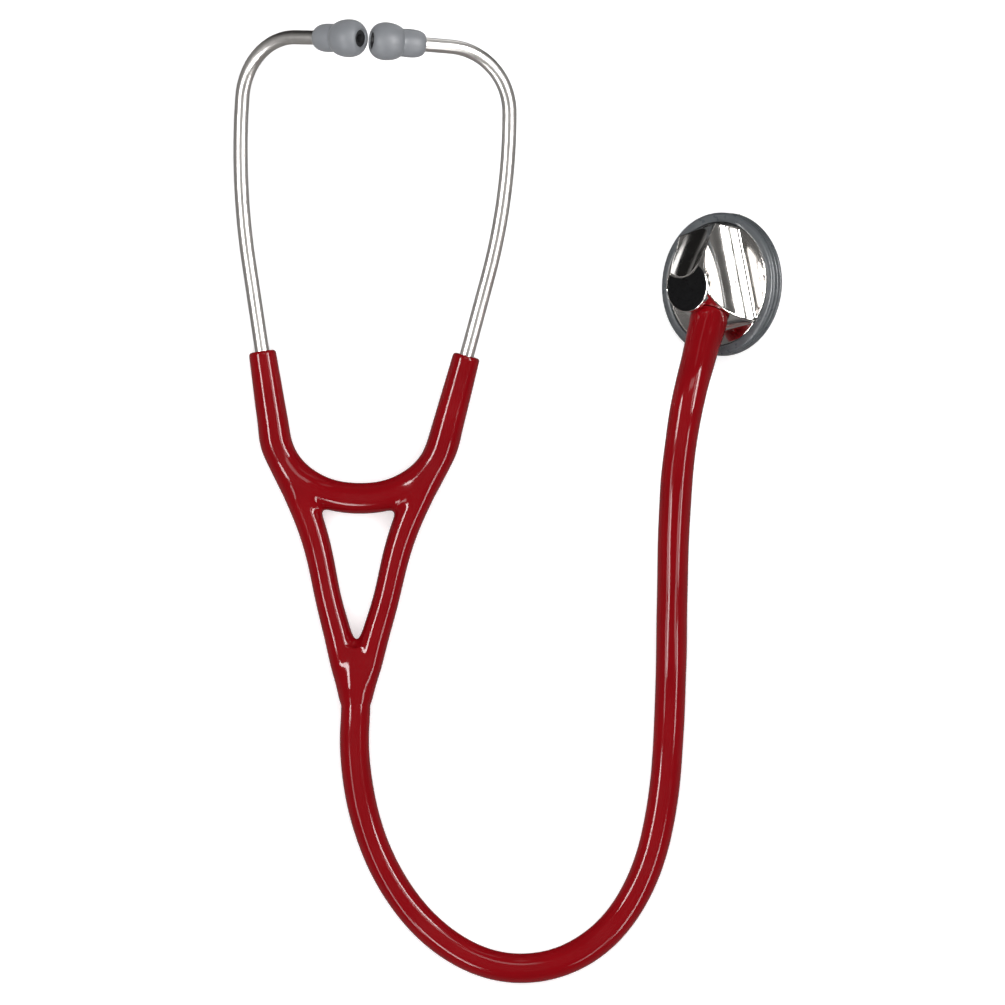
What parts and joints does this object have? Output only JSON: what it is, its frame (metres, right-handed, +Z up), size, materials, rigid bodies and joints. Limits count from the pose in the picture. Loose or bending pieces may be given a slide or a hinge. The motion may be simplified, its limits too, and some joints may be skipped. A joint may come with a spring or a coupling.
{
  "type": "stethoscope",
  "caption": "Single-sided stethoscope laid out in a U: steel eartubes in a moulded Y-yoke, thick glossy hose and a steel chestpiece with a diaphragm, soft rim and badge.",
  "frame": {"origin": "on the table, under the middle of the headset and chestpiece together (the free hose left out)", "axes": "+Y from the hose's bend to the eartips, +X from the headset to the chestpiece, +Z up from the table"},
  "size_m": [0.1953, 0.3429, 0.0486],
  "materials": {
    "hose_red": "glossy soft PVC",
    "polished_steel": "mirror polished, fine turning marks",
    "tube_steel": "polished tube, drawn along its length",
    "spring_steel": "plain spring strip",
    "tip_grey": "satin soft rubber",
    "core_black": "plain moulded",
    "rim_slate": "satin moulded rubber",
    "badge_black": "satin lacquer",
    "diaphragm_grey": "fine-textured laminate"
  },
  "bodies": {
    "tubing": {"yoke": "hose_red", "binaural_spring": "spring_steel", "main_hose": "hose_red", "hose_socket": "hose_red", "stem": "polished_steel", "chestpiece_body": "polished_steel", "badge_disc": "badge_black", "rim_ring": "rim_slate", "diaphragm_surround": "rim_slate"},
    "left_arm": {"yoke_arm_left": "hose_red", "spring_clip_left": "spring_steel"},
    "left_eartube": {"eartube_left": "tube_steel", "eartip_left": "tip_grey", "eartip_core_left": "core_black"},
    "right_arm": {"yoke_arm_right": "hose_red", "spring_clip_right": "spring_steel"},
    "right_eartube": {"eartube_right": "tube_steel", "eartip_right": "tip_grey", "eartip_core_right": "core_black"},
    "diaphragm": {"diaphragm": "diaphragm_grey"}
  },
  "joints": [
    {"name": "left_arm_spread", "type": "hinge", "parent": "tubing", "child": "left_arm", "pos_m": [-0.08252, -0.02839, 0.00603], "axis": [-0.1736, 0.0024, 0.9848], "range_deg": [0, 25], "stiffness_Nm_per_rad": 0.6},
    {"name": "right_arm_spread", "type": "hinge", "parent": "tubing", "child": "right_arm", "pos_m": [-0.02274, -0.02923, 0.01657], "axis": [0.1736, -0.0024, -0.9848], "range_deg": [0, 25], "stiffness_Nm_per_rad": 0.6},
    {"name": "left_eartube_twist", "type": "hinge", "parent": "left_arm", "child": "left_eartube", "pos_m": [-0.08734, 0.00363, 0.0051], "axis": [0.1487, -0.9885, 0.0287], "range_deg": [0, 20]},
    {"name": "right_eartube_twist", "type": "hinge", "parent": "right_arm", "child": "right_eartube", "pos_m": [-0.01432, 0.00203, 0.01798], "axis": [0.2601, 0.9646, 0.0435], "range_deg": [0, 20]},
    {"name": "diaphragm_press", "type": "slide", "parent": "tubing", "child": "diaphragm", "axis": [-0.6251, 0.0437, 0.7793], "range_m": [0, 0.0004], "stiffness_N_per_m": 1500}
  ]
}
